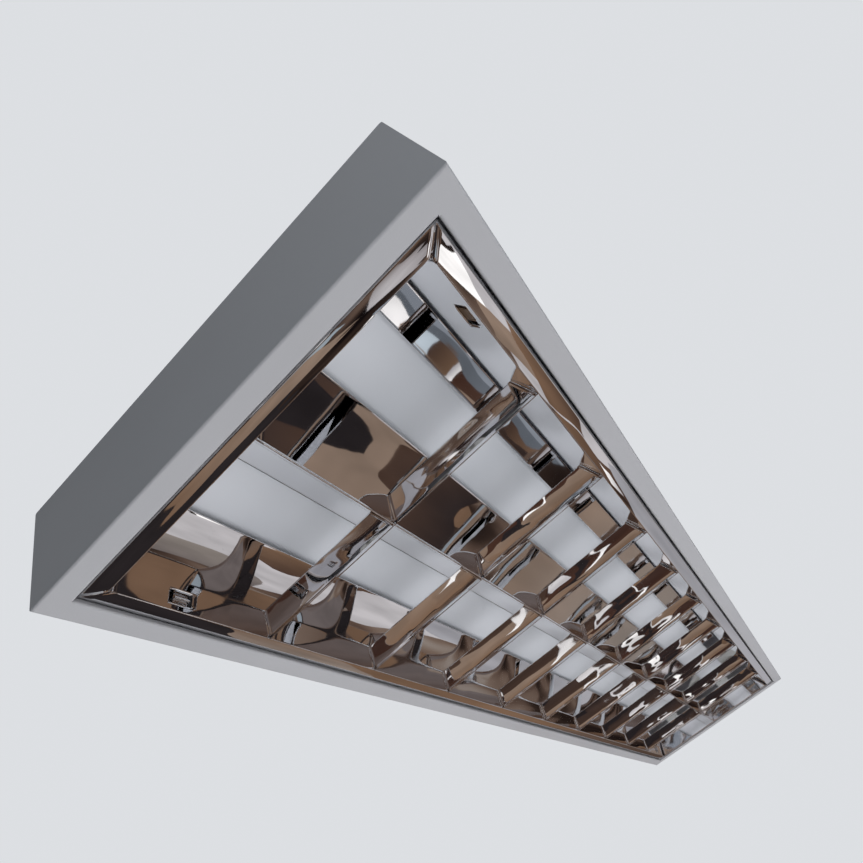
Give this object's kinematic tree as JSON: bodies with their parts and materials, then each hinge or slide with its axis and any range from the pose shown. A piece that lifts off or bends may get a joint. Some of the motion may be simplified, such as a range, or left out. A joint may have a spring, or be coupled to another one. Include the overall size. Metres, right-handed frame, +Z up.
{
  "type": "surface mount louvre light",
  "caption": "Ceiling surface mount light with a white sheet metal box housing and a hinged mirror louvre of parabolic reflectors and cross blades over two slim tube bays.",
  "frame": {"origin": "middle of the ceiling face, on the plane that rests on the ceiling", "axes": "+X along the fitting, +Y across it towards the louvre's catches, +Z up into the ceiling"},
  "size_m": [1.2, 0.3, 0.08],
  "materials": {
    "housing_white": "smooth satin white powder coat",
    "tray_white": "satin white powder coat",
    "rivet_zinc": "satin",
    "grommet_rubber": "matte",
    "bracket_zinc": "zinc plated",
    "pin_steel": "bright",
    "fastener_zinc": "zinc plated",
    "ballast_steel": "white enamel",
    "board_green": "solder-masked board",
    "terminal_plastic": "matte",
    "screw_brass": "satin",
    "lead_brown": "smooth PVC",
    "lead_white": "smooth PVC",
    "holder_plastic": "semi-gloss",
    "rotor_plastic": "semi-gloss",
    "contact_bronze": "bright",
    "mirror_aluminium": "mirror polished anodised aluminium",
    "strap_bronze": "dull bronze",
    "spring_steel": "bright"
  },
  "bodies": {
    "housing": {"housing_body": "housing_white", "end_cap_left": "housing_white", "end_cap_right": "housing_white", "end_cap_rivets": "rivet_zinc", "cable_grommet": "grommet_rubber", "hinge_bracket_left": "bracket_zinc", "hinge_bracket_right": "bracket_zinc", "hinge_pin_left": "pin_steel", "hinge_pin_right": "pin_steel", "gear_tray": "tray_white", "tray_studs": "fastener_zinc", "tray_nuts": "fastener_zinc", "ballast_base": "ballast_steel", "ballast_cover": "ballast_steel", "ballast_board": "board_green", "ballast_terminals": "terminal_plastic", "ballast_screws": "fastener_zinc", "terminal_block": "terminal_plastic", "terminal_screws": "screw_brass", "earth_stud": "fastener_zinc", "earth_nuts": "screw_brass", "mains_leads": "lead_brown", "lamp_leads_left": "lead_white", "lamp_leads_right": "lead_white", "wire_clips": "terminal_plastic", "lampholder_contacts": "contact_bronze", "lampholder_1": "holder_plastic", "lampholder_2": "holder_plastic", "lampholder_3": "holder_plastic", "lampholder_4": "holder_plastic"},
    "louvre": {"side_reflector_hinge_side": "mirror_aluminium", "side_reflector_catch_side": "mirror_aluminium", "centre_reflector": "mirror_aluminium", "end_reflector_left": "mirror_aluminium", "end_reflector_right": "mirror_aluminium", "hinge_strap_left": "strap_bronze", "hinge_strap_right": "strap_bronze", "spring_catch_left": "spring_steel", "spring_catch_right": "spring_steel", "cross_blade_1": "mirror_aluminium", "cross_blade_2": "mirror_aluminium", "cross_blade_3": "mirror_aluminium", "cross_blade_4": "mirror_aluminium", "cross_blade_5": "mirror_aluminium", "cross_blade_6": "mirror_aluminium", "cross_blade_7": "mirror_aluminium", "cross_blade_8": "mirror_aluminium", "cross_blade_9": "mirror_aluminium"},
    "rotor_1": {"lampholder_rotor_1": "rotor_plastic"},
    "rotor_2": {"lampholder_rotor_2": "rotor_plastic"},
    "rotor_3": {"lampholder_rotor_3": "rotor_plastic"},
    "rotor_4": {"lampholder_rotor_4": "rotor_plastic"}
  },
  "joints": [
    {"name": "louvre_hinge", "type": "hinge", "parent": "housing", "child": "louvre", "pos_m": [0, -0.1292, -0.0745], "axis": [-1, 0, 0], "range_deg": [0, 90]},
    {"name": "rotor_1_turn", "type": "hinge", "parent": "housing", "child": "rotor_1", "pos_m": [-0.5746, -0.0615, -0.0405], "axis": [1, 0, 0], "range_deg": [0, 90]},
    {"name": "rotor_2_turn", "type": "hinge", "parent": "housing", "child": "rotor_2", "pos_m": [-0.5746, 0.0615, -0.0405], "axis": [1, 0, 0], "range_deg": [0, 90]},
    {"name": "rotor_3_turn", "type": "hinge", "parent": "housing", "child": "rotor_3", "pos_m": [0.5746, -0.0615, -0.0405], "axis": [1, 0, 0], "range_deg": [0, 90]},
    {"name": "rotor_4_turn", "type": "hinge", "parent": "housing", "child": "rotor_4", "pos_m": [0.5746, 0.0615, -0.0405], "axis": [1, 0, 0], "range_deg": [0, 90]}
  ]
}
